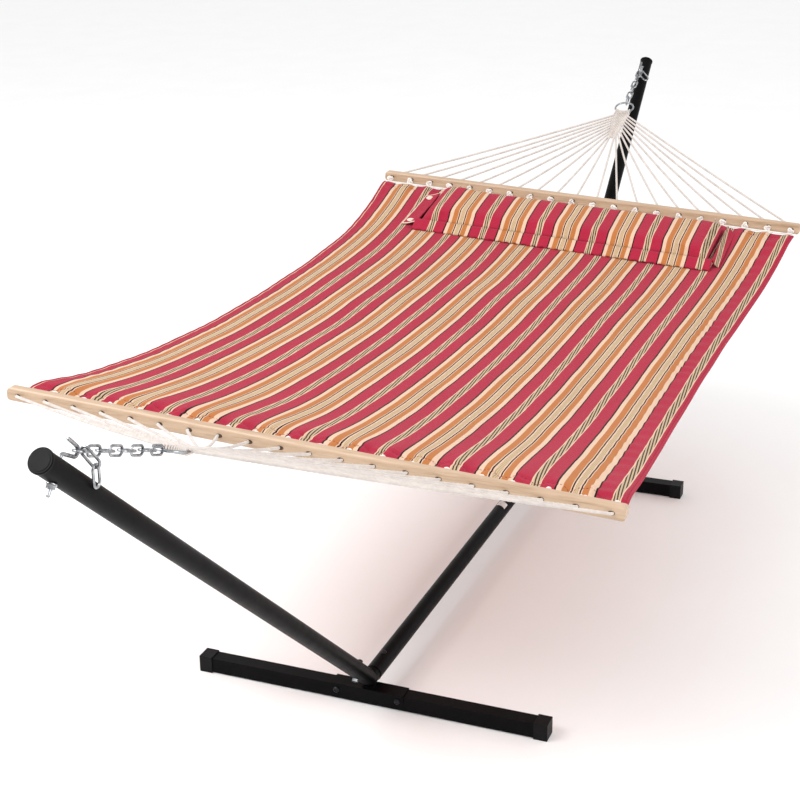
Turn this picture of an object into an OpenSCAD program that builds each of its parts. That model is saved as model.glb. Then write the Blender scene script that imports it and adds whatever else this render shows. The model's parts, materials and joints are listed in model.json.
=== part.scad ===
// Quilted double hammock on a two-foot steel stand, in millimetres.
// X runs along the stand, Y across it and Z up. The origin is on the floor, midway between the feet.
// "near" is the end at -X. "far" is the end at +X, where the pillow lies.

/* [Stand] */
// Distance between the upper ends of the two arm tubes
stand_span = 3910; // [3700:10:4000]
// Height of the arm tube's centre line at its upper end
arm_top_z = 1138; // [1120:1:1180]
// Distance between the two foot tubes
foot_spacing = 1440; // [1400:10:1500]
// Overall length of one foot over its caps
foot_length = 914; // [860:2:1100]
// Outer diameter of the arm tubes and of the beam
tube_d = 42; // [40:0.5:44]
// Wall of the arm tubes and of the beam
tube_wall = 1.5; // [1.2:0.1:1.8]
// Wall of the bent elbow tube
elbow_wall = 2; // [1.6:0.1:2.4]
// Side of the square foot tube
foot_tube_w = 38; // [36:1:40]
// Length of each foot cap
foot_cap_len = 34; // [26:1:44]

/* [Hanging hardware] */
// Diameter of the hook rod
hook_rod_d = 7; // [6:0.5:7.5]
// Distance of the hook from the arm tube's upper end
hook_from_end = 45; // [40:1:52]
// Wire diameter of the chain links
link_wire = 5; // [4.5:0.1:5.2]
// Inside length of a chain link, which is the chain's pitch
link_pitch = 34.5; // [33:0.5:36]
// Outer width of a chain link
link_width = 22; // [21:0.5:24]
// Number of links under load at the near end
near_links = 8; // [6:2:8]
// Number of links under load at the far end
far_links = 6; // [6:2:8]
// Outer diameter of the hammock's end rings
ring_od = 68; // [64:1:74]
// Wire diameter of the end rings
ring_wire = 6; // [5:0.5:6.5]

/* [Hammock] */
// Length of a spreader bar
bar_length = 1400; // [1390:2:1410]
// Height of a spreader bar's section
bar_h = 34; // [32:1:38]
// Thickness of a spreader bar's section
bar_t = 26; // [24:1:30]
// Height of the spreader bars' centres above the floor
bar_z = 809; // [790:1:820]
// Number of ropes and of holes at each end
rope_count = 20; // [16:2:20]
// Distance between two holes in a bar
hole_pitch = 71; // [70:0.5:71]
// Diameter of a hole in a bar
hole_d = 8; // [7.5:0.1:9]
// Diameter of a rope
rope_d = 4; // [3.6:0.1:4.2]
// Distance from a ring's centre to its spreader bar
clew_reach = 545; // [530:5:560]
// Length of the woven part of a clew
clew_length = 150; // [120:5:170]
// Sideways tilt of the bed, with the +Y side higher
bed_tilt = 2.8; // [0:0.1:3]
// Width of the bed at the spreader bars
bed_width = 1372; // [1350:2:1376]
// How far each side of the bed draws in at mid length
bed_waist = 42; // [20:1:60]
// Thickness of the quilted bed
bed_t = 9; // [8:0.5:12]
// Drop of the bed's lowest line below its hems
bed_sag = 84; // [70:1:90]
// Length of the pillow across the bed
pillow_length = 960; // [900:10:980]
// Width of the pillow along the bed
pillow_width = 290; // [270:5:300]
// Thickness of the pillow
pillow_t = 62; // [50:1:70]

/* [Hidden] */
$fn = 48;

steel_black = [0.11, 0.11, 0.12];
cap_black = [0.06, 0.06, 0.065];
zinc = [0.78, 0.79, 0.8];
rope_cream = [0.91, 0.87, 0.85];
pale_wood = [0.91, 0.79, 0.64];
fabric_red = [0.79, 0.25, 0.34];
button_cream = [0.93, 0.9, 0.84];

// Clearance between sleeved or neighbouring pieces
gap = 0.3;
// Cuts run past the faces that they open by this much
over = 1;
// Length of the drills that cut the cross holes
drill = 80;

// Stand
cap_wall = 2.5;
saddle_t = 2.5;
saddle_len = 190;
saddle_drop = 28;
elbow_d = tube_d - 2 * tube_wall - 2 * gap;
foot_x = foot_spacing / 2;
foot_top = cap_wall + foot_tube_w;
saddle_top = foot_top + saddle_t;
arm_run = stand_span / 2 - foot_x;
// How far the elbow's lowest point sinks into the saddle, and half the angle between arm and beam there
weld_sink = 0.6;
half_tilt = 20.6;
// Height where the arm's and the beam's centre lines cross
elbow_z = saddle_top - weld_sink + elbow_d / 2 / cos(half_tilt);
arm_length = sqrt(pow(arm_run, 2) + pow(arm_top_z - elbow_z, 2));
arm_tilt = atan((arm_top_z - elbow_z) / arm_run);
mitre = elbow_d / 2 * tan(arm_tilt / 2);
sleeve_start = 24;
leg_length = 150;
bolt_from_corner = 92;
bolt_d = 8;
bolt_hole_d = 8.6;
bolt_head_d = 15;
nut_af = 13;
nut_h = 6.5;
washer_d = 19;
washer_t = 1.6;
saddle_bolt_y = 80;
saddle_bolt_z = 26;

// Hooks: the far one mirrors the near one
arm_dir = [cos(arm_tilt), -sin(arm_tilt)];
arm_normal = [sin(arm_tilt), cos(arm_tilt)];
near_arm_top = [-stand_span / 2, arm_top_z];
hook_axis = near_arm_top + hook_from_end * arm_dir;
arm_bolt = near_arm_top + (arm_length - bolt_from_corner) * arm_dir;
shank_r = 8;
seat_r = 9;
dip_angle = -30;
dip_length = 30;
free_length = 30;
free_angle = 135;
shank_exit = hook_axis + (tube_d / 2 + 1) * arm_normal;
shank_c = shank_exit + shank_r * arm_dir;
dip_start = shank_c + shank_r * [-sin(dip_angle), cos(dip_angle)];
dip_end = dip_start + dip_length * [cos(dip_angle), sin(dip_angle)];
seat_c = dip_end + seat_r * [-sin(dip_angle), cos(dip_angle)];
free_start = seat_c + seat_r * [sin(free_angle), -cos(free_angle)];
// The chain rests on the hook where the rod's bend faces the pull
pull_angle = -21.5;
seat = seat_c + seat_r * [cos(pull_angle), sin(pull_angle)];
seat_x = -seat.x;
seat_z = seat.y;

// Chains and rings: each chain and clew lie on one line from the hook's seat to the bar
link_gap = 0.25;
link_bend = (link_width - link_wire) / 2;
link_step = link_pitch - link_gap;
ring_r = (ring_od - ring_wire) / 2;
function chain_reach(links) = links * link_step - (hook_rod_d + ring_wire) / 2 - link_gap;
function bar_distance(links) = chain_reach(links) + ring_r + clew_reach;
function bar_run(links) = sqrt(pow(bar_distance(links), 2) - pow(seat_z - bar_z, 2));
function pull_slope(links) = asin((seat_z - bar_z) / bar_distance(links));
near_bar_x = -seat_x + bar_run(near_links);
far_bar_x = seat_x - bar_run(far_links);

// Bed
hem_gap = 47;
hem_cord_gap = 40;
hem_cord_d = 4;
knot_d = 11;
near_hem = near_bar_x + hem_gap;
far_hem = far_bar_x - hem_gap;
bed_hem_z = bar_z - 9;
bed_low_x = 150;
bed_length = far_hem - near_hem;
bed_mid_x = (far_hem + near_hem) / 2;
near_power = 2.3;
far_power = 3.6;
bed_steps = 24;
function bed_rise(x) = x < bed_low_x
    ? pow((bed_low_x - x) / (bed_low_x - near_hem), near_power)
    : pow((x - bed_low_x) / (far_hem - bed_low_x), far_power);
// Height of the bed's middle surface in its own untilted frame
function bed_z(x) = bed_hem_z - bed_sag * (1 - bed_rise(x));
function bed_half(x) = bed_width / 2 - bed_waist * (1 - pow((x - bed_mid_x) / (bed_length / 2), 2));
function bed_at(i) = near_hem + bed_length * i / bed_steps;

// Pillow, in the bed's untilted frame
pillow_hem_gap = 16;
// How far the pillow lies off the middle, towards -Y
pillow_shift = 15;
pillow_x = far_hem - pillow_hem_gap - pillow_width / 2;
pillow_slope = atan((bed_z(far_hem) - bed_z(far_hem - pillow_width)) / pillow_width);
pillow_lift = 2.2;
pillow_z = bed_z(pillow_x) + bed_t / 2 + pillow_t / 2 + pillow_lift;
// Flap of fabric beyond the pillow's +Y end, which lies on the bed
flap_x = [810, 1025];
flap_w = 42;
flap_t = 4;
flap_lift = 1.5;
flap_slope = atan((bed_z(flap_x[1]) - bed_z(flap_x[0])) / (flap_x[1] - flap_x[0]));
button_d = 20;
button_t = 3;

// Turns a point of the bed's untilted frame into the row's frame
function tilted(p) = [p.x, p.y * cos(bed_tilt) - (p.z - bar_z) * sin(bed_tilt),
    bar_z + p.y * sin(bed_tilt) + (p.z - bar_z) * cos(bed_tilt)];

module tilt() {
    translate([0, 0, bar_z]) rotate([bed_tilt, 0, 0]) translate([0, 0, -bar_z]) children();
}

// Puts children at a point of the XZ plane with their Z axis along a direction of that plane
module along(p, dir) {
    translate([p.x, 0, p.y]) rotate([0, atan2(dir.x, dir.y), 0]) children();
}

module at_far() {
    mirror([1, 0, 0]) children();
}

function unit(v) = v / norm(v);

// A tube of n sides swept along a list of points
module sweep(points, d, n = 8) {
    last = len(points) - 1;
    dirs = [for (i = [0:last])
        i == 0 ? unit(points[1] - points[0])
        : i == last ? unit(points[last] - points[last - 1])
        : unit(unit(points[i + 1] - points[i]) + unit(points[i] - points[i - 1]))];
    side = unit(cross(dirs[0], abs(dirs[0].z) < 0.9 ? [0, 0, 1] : [0, 1, 0]));
    rings = [for (i = [0:last])
        let (s = unit(side - (side * dirs[i]) * dirs[i]), t = cross(dirs[i], s))
        [for (k = [0:n - 1]) points[i] + d / 2 * (cos(360 * k / n) * s + sin(360 * k / n) * t)]];
    verts = [for (r = rings) for (v = r) v];
    faces = concat([[for (k = [0:n - 1]) k]], [[for (k = [n - 1:-1:0]) last * n + k]],
        [for (i = [0:last - 1]) for (k = [0:n - 1])
            [i * n + k, (i + 1) * n + k, (i + 1) * n + (k + 1) % n, i * n + (k + 1) % n]]);
    polyhedron(verts, faces);
}

// ---- Feet ----

module foot_bolt_holes() {
    for (y = [-saddle_bolt_y, saddle_bolt_y])
        translate([0, y, saddle_bolt_z]) rotate([0, 90, 0])
            cylinder(d = bolt_hole_d, h = drill, center = true);
}

module foot_tube() {
    inner = foot_tube_w - 4;
    length = foot_length - 2 * cap_wall;
    difference() {
        translate([-foot_tube_w / 2, -length / 2, cap_wall]) cube([foot_tube_w, length, foot_tube_w]);
        translate([-inner / 2, -length / 2 - over, cap_wall + 2]) cube([inner, length + 2 * over, inner]);
        foot_bolt_holes();
    }
}

module foot_cap() {
    outer = foot_tube_w + 2 * cap_wall;
    pocket = foot_tube_w + 2 * gap;
    difference() {
        translate([-outer / 2, foot_length / 2 - foot_cap_len, 0]) cube([outer, foot_cap_len, outer]);
        translate([-pocket / 2, foot_length / 2 - foot_cap_len - over, cap_wall - gap])
            cube([pocket, foot_cap_len + over - cap_wall, pocket]);
    }
}

module foot_caps() {
    foot_cap();
    mirror([0, 1, 0]) foot_cap();
}

// ---- Elbow weldment: a bent tube on a saddle that straddles the foot ----

module saddle() {
    outer = foot_tube_w + 2 * gap + 2 * saddle_t;
    inner = foot_tube_w + 2 * gap;
    corner = 14;
    low = saddle_top - saddle_drop - saddle_t;
    difference() {
        intersection() {
            translate([-outer / 2, -saddle_len / 2, low]) cube([outer, saddle_len, saddle_top - low]);
            rotate([90, 0, 90]) linear_extrude(outer + 2, center = true) {
                translate([-saddle_len / 2, low + corner]) square([saddle_len, saddle_top - low - corner]);
                translate([-saddle_len / 2 + corner, low]) square([saddle_len - 2 * corner, corner + over]);
                for (s = [-1, 1])
                    translate([s * (saddle_len / 2 - corner), low + corner]) circle(r = corner);
            }
        }
        translate([-inner / 2, -saddle_len / 2 - over, low - over])
            cube([inner, saddle_len + 2 * over, foot_top - low + over]);
        foot_bolt_holes();
    }
}

// Children along both legs of the elbow: their Z axis runs from the corner along each leg
module at_legs() {
    for (turn = [0, 180 + arm_tilt]) rotate([0, turn, 0]) rotate([0, 90, 0]) children();
}

module near_elbow() {
    bore_start = 12;
    pad = 28;
    pad_h = 4;
    color(steel_black) translate([-foot_x, 0, 0]) union() {
        translate([0, 0, elbow_z]) difference() {
            at_legs() translate([0, 0, -mitre]) cylinder(d = elbow_d, h = leg_length + mitre);
            at_legs() translate([0, 0, bore_start]) cylinder(d = elbow_d - 2 * elbow_wall, h = leg_length);
            at_legs() translate([0, 0, bolt_from_corner]) rotate([0, 90, 0])
                cylinder(d = bolt_hole_d, h = drill, center = true);
        }
        saddle();
        // Weld pad between the bend and the saddle
        translate([-pad / 2, -pad / 2, saddle_top - over]) cube([pad, pad, pad_h + over]);
    }
}

// ---- Arms, beam and their caps ----

module arm_tube() {
    id = tube_d - 2 * tube_wall;
    length = arm_length - sleeve_start;
    color(steel_black) difference() {
        along(near_arm_top, arm_dir) cylinder(d = tube_d, h = length);
        along(near_arm_top - over * arm_dir, arm_dir) cylinder(d = id, h = length + 2 * over);
        along(hook_axis, arm_normal) cylinder(d = hook_rod_d + 1, h = drill, center = true);
        along(arm_bolt, arm_normal) cylinder(d = bolt_hole_d, h = drill, center = true);
    }
}

module arm_cap() {
    plug_r = tube_d / 2 - tube_wall - gap;
    rim_r = tube_d / 2 + 1.2;
    color(cap_black) along(near_arm_top, -arm_dir) rotate_extrude() {
        translate([0, -20]) square([plug_r, 20]);
        square([rim_r, 3]);
        translate([0, 3]) square([rim_r - 1.5, 1.5]);
        translate([0, 4.5]) square([rim_r - 5, 0.8]);
    }
}

module beam_tube() {
    half = foot_x - sleeve_start;
    color(steel_black) translate([0, 0, elbow_z]) difference() {
        translate([-half, 0, 0]) rotate([0, 90, 0]) cylinder(d = tube_d, h = 2 * half);
        translate([-half - over, 0, 0]) rotate([0, 90, 0])
            cylinder(d = tube_d - 2 * tube_wall, h = 2 * half + 2 * over);
        for (s = [-1, 1]) translate([s * (foot_x - bolt_from_corner), 0, 0])
            cylinder(d = bolt_hole_d, h = drill, center = true);
    }
}

// ---- Fasteners ----

// A domed screw along +Z: its head seats at z = 0 and its shank runs to -length
module screw(length) {
    rotate_extrude() {
        translate([0, -length]) square([bolt_d / 2, length]);
        polygon([[0, 0], [bolt_head_d / 2, 0], [bolt_head_d / 2, 1.5], [bolt_head_d / 2 - 2.2, 3.8],
            [bolt_head_d / 4, 4.8], [0, 5]]);
    }
}

module hex_nut(hole) {
    difference() {
        cylinder(d = nut_af / cos(30), h = nut_h, $fn = 6);
        translate([0, 0, -over]) cylinder(d = hole, h = nut_h + 2 * over);
    }
}

grip = tube_d / 2 + gap;

module at_tube_bolts() {
    for (side = [0, 1]) mirror([side, 0, 0]) {
        translate([-foot_x + bolt_from_corner, 0, elbow_z]) children();
        along(arm_bolt, arm_normal) children();
    }
}

module tube_bolts() {
    color(zinc) at_tube_bolts() translate([0, 0, grip]) screw(2 * grip + nut_h + 2);
}

module tube_bolt_nuts() {
    color(zinc) at_tube_bolts() translate([0, 0, -grip - nut_h]) hex_nut(bolt_d + 2 * gap);
}

saddle_grip = foot_tube_w / 2 + gap + saddle_t + gap;

// Saddle bolts have their heads on the outer face of each foot
module at_saddle_bolts() {
    for (side = [0, 1], y = [-saddle_bolt_y, saddle_bolt_y])
        mirror([side, 0, 0]) translate([-foot_x, y, saddle_bolt_z]) rotate([0, -90, 0]) children();
}

module saddle_bolts() {
    color(zinc) at_saddle_bolts() translate([0, 0, saddle_grip]) screw(2 * saddle_grip + nut_h + 2);
}

module saddle_bolt_nuts() {
    color(zinc) at_saddle_bolts() translate([0, 0, -saddle_grip - nut_h]) hex_nut(bolt_d + 2 * gap);
}

// ---- Hooks ----

// Points on an arc in the XZ plane, from one angle to another about a centre
function arc_points(c, r, from, to, steps) =
    [for (i = [0:steps]) let (a = from + (to - from) * i / steps) [c.x + r * cos(a), 0, c.y + r * sin(a)]];

module hook() {
    stub = tube_d / 2 + 22;
    foot = hook_axis - stub * arm_normal;
    tip = free_start + free_length * [cos(free_angle), sin(free_angle)];
    color(zinc) sweep(concat([[foot.x, 0, foot.y]],
        arc_points(shank_c, shank_r, 180 - arm_tilt, 90 + dip_angle, 6),
        arc_points(seat_c, seat_r, dip_angle - 90, free_angle - 90, 12),
        [[tip.x, 0, tip.y]]), hook_rod_d, 12);
}

module hook_nut() {
    color(zinc) {
        along(hook_axis - (tube_d / 2 + gap) * arm_normal, -arm_normal) difference() {
            cylinder(d = washer_d, h = washer_t);
            translate([0, 0, -over]) cylinder(d = hook_rod_d + 2 * gap, h = washer_t + 2 * over);
        }
        along(hook_axis - (tube_d / 2 + 2 * gap + washer_t) * arm_normal, -arm_normal)
            hex_nut(hook_rod_d + 2 * gap);
    }
}

// ---- Chains and rings ----

// A chain link in the XY plane, long along X
module chain_link() {
    straight = link_pitch + link_wire - 2 * link_bend;
    union() {
        for (s = [0, 1]) mirror([s, 0, 0]) translate([straight / 2, 0, 0])
            rotate([0, 0, -90]) rotate_extrude(angle = 180)
                translate([link_bend, 0]) circle(d = link_wire, $fn = 24);
        for (s = [-1, 1]) translate([-straight / 2, s * link_bend, 0])
            rotate([0, 90, 0]) cylinder(d = link_wire, h = straight, $fn = 24);
    }
}

// Children in a frame whose X axis runs from the near hook's seat down to the near bar
module pull_line(links) {
    translate([-seat_x, 0, seat_z]) rotate([0, pull_slope(links), 0]) children();
}

module chain(links) {
    first = link_pitch / 2 - hook_rod_d / 2 - link_gap;
    color(zinc) pull_line(links) for (i = [0:links - 1])
        translate([first + i * link_step, 0, 0]) rotate([i % 2 * 90, 0, 0]) chain_link();
}

module end_ring(links) {
    color(zinc) pull_line(links) translate([chain_reach(links) + ring_r, 0, 0])
        rotate_extrude() translate([ring_r, 0]) circle(d = ring_wire, $fn = 24);
}

// Spare links hang over the -Y side of the first link and lean on that side of the arm tube
spare_at = 9;
spare_play = 3.2;
spare_lean = 45;

// Children hang by a link's upper end from a wire at the origin, with some play under the wire
module hang_link(play) {
    translate([0, 0, link_wire + play - (link_pitch + link_wire) / 2]) children();
}

// The second link hangs from the lowest point of the leaning first one
module spare_links(links, count) {
    end_c = link_pitch - spare_play - link_bend;
    color(zinc) translate(pull_point(links, spare_at, -link_bend)) {
        rotate([-spare_lean, 0, 0]) hang_link(spare_play) rotate([0, 90, 0]) chain_link();
        if (count > 1) translate([0, -end_c * sin(spare_lean), -end_c * cos(spare_lean) - link_bend])
            hang_link(link_gap) rotate([0, 90, 0]) rotate([90, 0, 0]) chain_link();
    }
}

// ---- Clews and ropes ----

clew_top_half = ring_od / 2 - ring_wire - 3;
clew_tip_half = 9;
clew_t = 9;
// A clew starts on the ring's far side, so its length counts from there
clew_start = ring_r + ring_wire / 2 + 0.5;
function clew_half(s) = clew_top_half + (clew_tip_half - clew_top_half) * s / clew_length;

module clew(links) {
    color(rope_cream) pull_line(links) translate([chain_reach(links) + ring_r + clew_start, 0, -clew_t / 2])
        linear_extrude(clew_t) polygon([[0, -clew_top_half], [clew_length, -clew_tip_half],
            [clew_length, clew_tip_half], [0, clew_top_half]]);
}

pairs = rope_count / 2;
rope_lead = 12;
// How much further in each rope starts than the one outside it
tuck = 0.3;
function hole_y(i) = (i - (rope_count - 1) / 2) * hole_pitch;
// Distance from the ring side of the clew at which a rope leaves it: the outer ropes leave first
function leave_at(i) = let (k = i < pairs ? i : rope_count - 1 - i)
    rope_lead + (clew_length - 2 * rope_lead) * k / (pairs - 1);

// A point on the line from the near hook's seat to the near bar, in the row's frame
function pull_point(links, s, y) = [-seat_x + s * cos(pull_slope(links)), y,
    seat_z - s * sin(pull_slope(links))];

module ropes(links) {
    bar_x = -seat_x + bar_run(links);
    color(rope_cream) for (i = [0:rope_count - 1]) {
        s = leave_at(i);
        side = i < pairs ? -1 : 1;
        leave = pull_point(links, chain_reach(links) + ring_r + clew_start + s,
            side * (clew_half(s) - rope_d / 2 - tuck * (i < pairs ? i : rope_count - 1 - i)));
        mouth = tilted([bar_x - bar_t / 2 - 5, hole_y(i), bar_z]);
        back = tilted([bar_x + bar_t / 2 + 4, hole_y(i), bar_z]);
        knot = tilted([bar_x + hem_cord_gap - knot_d / 2, hole_y(i), bed_hem_z + 2]);
        sweep([leave, mouth, back, knot], rope_d);
    }
}

// ---- Spreader bars, hem cords and knots ----

// A rectangle with round corners, about its middle
module round_rect(size, r) {
    square([size.x - 2 * r, size.y], center = true);
    square([size.x, size.y - 2 * r], center = true);
    for (sx = [-1, 1], sy = [-1, 1]) translate([sx * (size.x / 2 - r), sy * (size.y / 2 - r)]) circle(r = r);
}

module spreader_bar(x) {
    edge_r = 9;
    end_r = 12;
    color(pale_wood) tilt() difference() {
        translate([x, 0, bar_z]) intersection() {
            rotate([90, 0, 0]) linear_extrude(bar_length + 2, center = true)
                round_rect([bar_t, bar_h], edge_r);
            rotate([90, 0, 90]) linear_extrude(bar_t + 2, center = true)
                round_rect([bar_length, bar_h], end_r);
        }
        for (i = [0:rope_count - 1])
            translate([x - bar_t, hole_y(i), bar_z]) rotate([0, 90, 0]) cylinder(d = hole_d, h = 2 * bar_t);
    }
}

// The cord bows towards the bed between two knots
scallop = 5;
module hem_cord(x, inward) {
    ends = hole_y(rope_count - 1) + 8;
    points = concat([tilted([x, -ends, bed_hem_z])],
        [for (i = [0:2 * rope_count - 2])
            tilted([x + (i % 2) * inward * scallop, hole_y(i / 2), bed_hem_z])],
        [tilted([x, ends, bed_hem_z])]);
    color(rope_cream) sweep(points, hem_cord_d);
}

module knots(x) {
    color(rope_cream) for (i = [0:rope_count - 1])
        translate(tilted([x, hole_y(i), bed_hem_z + 1])) sphere(d = knot_d, $fn = 24);
}

// ---- Bed and pillow ----

module bed() {
    upper = [for (i = [0:bed_steps]) [bed_at(i), bed_z(bed_at(i)) + bed_t / 2]];
    lower = [for (i = [bed_steps:-1:0]) [bed_at(i), bed_z(bed_at(i)) - bed_t / 2]];
    left = [for (i = [0:bed_steps]) [bed_at(i), bed_half(bed_at(i))]];
    right = [for (i = [bed_steps:-1:0]) [bed_at(i), -bed_half(bed_at(i))]];
    color(fabric_red) tilt() intersection() {
        rotate([90, 0, 0]) linear_extrude(bed_width + 20, center = true) polygon(concat(upper, lower));
        translate([0, 0, bar_z - 300]) linear_extrude(600) polygon(concat(left, right));
    }
}

module pillow() {
    steps = 28;
    // Below 1, this squares the section off towards a box
    roundness = 0.8;
    section = [for (k = [0:steps - 1]) let (c = cos(360 * k / steps), s = sin(360 * k / steps))
        [pillow_width / 2 * sign(c) * pow(abs(c), roundness),
        pillow_t / 2 * sign(s) * pow(abs(s), roundness)]];
    color(fabric_red) tilt() translate([pillow_x, -pillow_shift, pillow_z]) rotate([90, -pillow_slope, 0])
        linear_extrude(pillow_length, center = true) polygon(section);
}

// Children on the flap: X along it from its -X end, Y outwards from the pillow's end, Z off its top
module on_flap() {
    flap_z = bed_z(flap_x[0]) + bed_t / 2 + flap_lift;
    tilt() translate([flap_x[0], pillow_length / 2 - pillow_shift + gap, flap_z])
        rotate([0, -flap_slope, 0]) children();
}

module pillow_flap() {
    flap_length = (flap_x[1] - flap_x[0]) / cos(flap_slope);
    color(fabric_red) on_flap() cube([flap_length, flap_w, flap_t]);
}

module pillow_buttons() {
    color(button_cream) on_flap() for (x = [20, 195])
        translate([x, 0.68 * flap_w, flap_t + gap]) cylinder(d = button_d, h = button_t);
}

module pillow_ties() {
    tie_d = 3.5;
    tie_end_z = bed_hem_z + hem_cord_d / 2 + tie_d / 2 + gap;
    edge = [pillow_x + (pillow_width / 2 + tie_d) * cos(pillow_slope),
        pillow_z + (pillow_width / 2 + tie_d) * sin(pillow_slope)];
    color(rope_cream) for (i = [3, rope_count - 5])
        sweep([tilted([edge.x, hole_y(i) + 18, edge.y]), tilted([edge.x + 8, hole_y(i) + 16, edge.y + 4]),
            tilted([far_bar_x - hem_cord_gap, hole_y(i) + 14, tie_end_z])], tie_d);
}

module near_foot_tube() { color(steel_black) translate([-foot_x, 0, 0]) foot_tube(); }
module far_foot_tube() { at_far() near_foot_tube(); }
module near_foot_caps() { color(cap_black) translate([-foot_x, 0, 0]) foot_caps(); }
module far_foot_caps() { at_far() near_foot_caps(); }

near_foot_tube();
far_foot_tube();
near_foot_caps();
far_foot_caps();
near_elbow();
at_far() near_elbow();  // far_elbow
arm_tube();  // near_arm_tube
at_far() arm_tube();  // far_arm_tube
arm_cap();  // near_arm_cap
at_far() arm_cap();  // far_arm_cap
beam_tube();
tube_bolts();
tube_bolt_nuts();
saddle_bolts();
saddle_bolt_nuts();
hook();  // near_hook
at_far() hook();  // far_hook
hook_nut();  // near_hook_nut
at_far() hook_nut();  // far_hook_nut
chain(near_links);  // near_chain
at_far() chain(far_links);  // far_chain
spare_links(near_links, 2);  // near_spare_links
at_far() spare_links(far_links, 1);  // far_spare_link
end_ring(near_links);  // near_ring
at_far() end_ring(far_links);  // far_ring
clew(near_links);  // near_clew
at_far() clew(far_links);  // far_clew
ropes(near_links);  // near_ropes
at_far() ropes(far_links);  // far_ropes
spreader_bar(near_bar_x);  // near_spreader_bar
spreader_bar(far_bar_x);  // far_spreader_bar
hem_cord(near_bar_x + hem_cord_gap, 1);  // near_hem_cord
hem_cord(far_bar_x - hem_cord_gap, -1);  // far_hem_cord
knots(near_bar_x + hem_cord_gap);  // near_knots
knots(far_bar_x - hem_cord_gap);  // far_knots
bed();
pillow();
pillow_flap();
pillow_buttons();
pillow_ties();
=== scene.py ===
"""Looks of a quilted hammock on its stand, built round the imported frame. Metres and radians throughout."""

import json
import math

import bpy
import numpy as np
from mathutils import Matrix, Vector, noise


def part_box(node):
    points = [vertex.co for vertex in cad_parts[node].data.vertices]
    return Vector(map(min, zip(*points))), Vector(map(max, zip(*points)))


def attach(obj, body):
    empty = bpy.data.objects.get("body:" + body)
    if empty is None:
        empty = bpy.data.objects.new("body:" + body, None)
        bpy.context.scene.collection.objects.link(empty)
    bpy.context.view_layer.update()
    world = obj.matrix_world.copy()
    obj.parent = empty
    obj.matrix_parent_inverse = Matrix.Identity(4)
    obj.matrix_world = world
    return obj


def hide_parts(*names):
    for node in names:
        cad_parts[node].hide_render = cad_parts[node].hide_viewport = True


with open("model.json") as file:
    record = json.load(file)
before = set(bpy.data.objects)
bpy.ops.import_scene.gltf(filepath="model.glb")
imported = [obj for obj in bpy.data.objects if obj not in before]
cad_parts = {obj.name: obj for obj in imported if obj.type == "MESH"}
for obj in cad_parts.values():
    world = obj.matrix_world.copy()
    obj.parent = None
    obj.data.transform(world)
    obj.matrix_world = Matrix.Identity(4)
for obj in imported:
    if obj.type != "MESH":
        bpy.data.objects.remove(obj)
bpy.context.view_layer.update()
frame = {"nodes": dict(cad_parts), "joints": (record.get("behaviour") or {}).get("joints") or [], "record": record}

# ---- Camera ----

CAMERA_AT = (-3.7956, -1.3248, 2.0825)
CAMERA_YAW = math.radians(21.887)
CAMERA_PITCH = math.radians(-21.158)
CAMERA_ROLL = math.radians(-0.723)
CAMERA_LENS = 71.25


def make_camera():
    """The camera looks along yaw (from +X towards +Y) and pitch (above the horizon), then rolls."""
    forward = Vector((math.cos(CAMERA_PITCH) * math.cos(CAMERA_YAW),
                      math.cos(CAMERA_PITCH) * math.sin(CAMERA_YAW), math.sin(CAMERA_PITCH)))
    level = forward.cross(Vector((0, 0, 1))).normalized()
    above = level.cross(forward)
    right = math.cos(CAMERA_ROLL) * level + math.sin(CAMERA_ROLL) * above
    up = math.cos(CAMERA_ROLL) * above - math.sin(CAMERA_ROLL) * level
    data = bpy.data.cameras.new("camera")
    data.lens = CAMERA_LENS
    data.sensor_width = 36
    data.clip_start, data.clip_end = 0.05, 100
    camera = bpy.data.objects.new("camera", data)
    camera.matrix_world = Matrix((
        (right.x, up.x, -forward.x, CAMERA_AT[0]),
        (right.y, up.y, -forward.y, CAMERA_AT[1]),
        (right.z, up.z, -forward.z, CAMERA_AT[2]),
        (0, 0, 0, 1)))
    bpy.context.scene.collection.objects.link(camera)
    bpy.context.scene.camera = camera


make_camera()

# ---- Places taken from the frame ----

TILT_AXIS = next(j for j in frame["joints"] if j["name"] == "pillow_flip")["axis"]
TILT = math.atan2(TILT_AXIS[2], TILT_AXIS[1])


def middle(node):
    low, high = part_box(node)
    return (low + high) / 2


BAR = {"near": middle("near_spreader_bar"), "far": middle("far_spreader_bar")}
RING = {"near": middle("near_ring"), "far": middle("far_ring")}
BAR_Z = BAR["near"].z
NEAR_HEM, FAR_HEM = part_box("bed")[0].x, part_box("bed")[1].x
BED_LENGTH = FAR_HEM - NEAR_HEM
BAR_T = 0.026
ROPES = 20
HOLE_PITCH = 0.071
HEM_Z = BAR_Z - 0.009
HEM_CORD_GAP = 0.040


def tilted(x, y, z):
    """A point of the bed's level frame, put into the row's frame."""
    up = z - BAR_Z
    return np.array((x, y * math.cos(TILT) - up * math.sin(TILT),
                     BAR_Z + y * math.sin(TILT) + up * math.cos(TILT)))


def tilt_all(points):
    """The same for an array of points."""
    out = np.array(points, float)
    y, up = out[:, 1].copy(), out[:, 2] - BAR_Z
    out[:, 1] = y * math.cos(TILT) - up * math.sin(TILT)
    out[:, 2] = BAR_Z + y * math.sin(TILT) + up * math.cos(TILT)
    return out


def hole_y(i):
    return (i - (ROPES - 1) / 2) * HOLE_PITCH


# ---- Mesh helpers ----

def unit(v):
    return v / np.linalg.norm(v)


def resampled(points, step):
    """Points at equal steps along a polyline."""
    points = np.asarray(points, float)
    lengths = np.linalg.norm(np.diff(points, axis=0), axis=1)
    along = np.concatenate(([0], np.cumsum(lengths)))
    count = max(2, int(round(along[-1] / step)) + 1)
    wanted = np.linspace(0, along[-1], count)
    return np.stack([np.interp(wanted, along, points[:, k]) for k in range(3)], axis=1)


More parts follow.
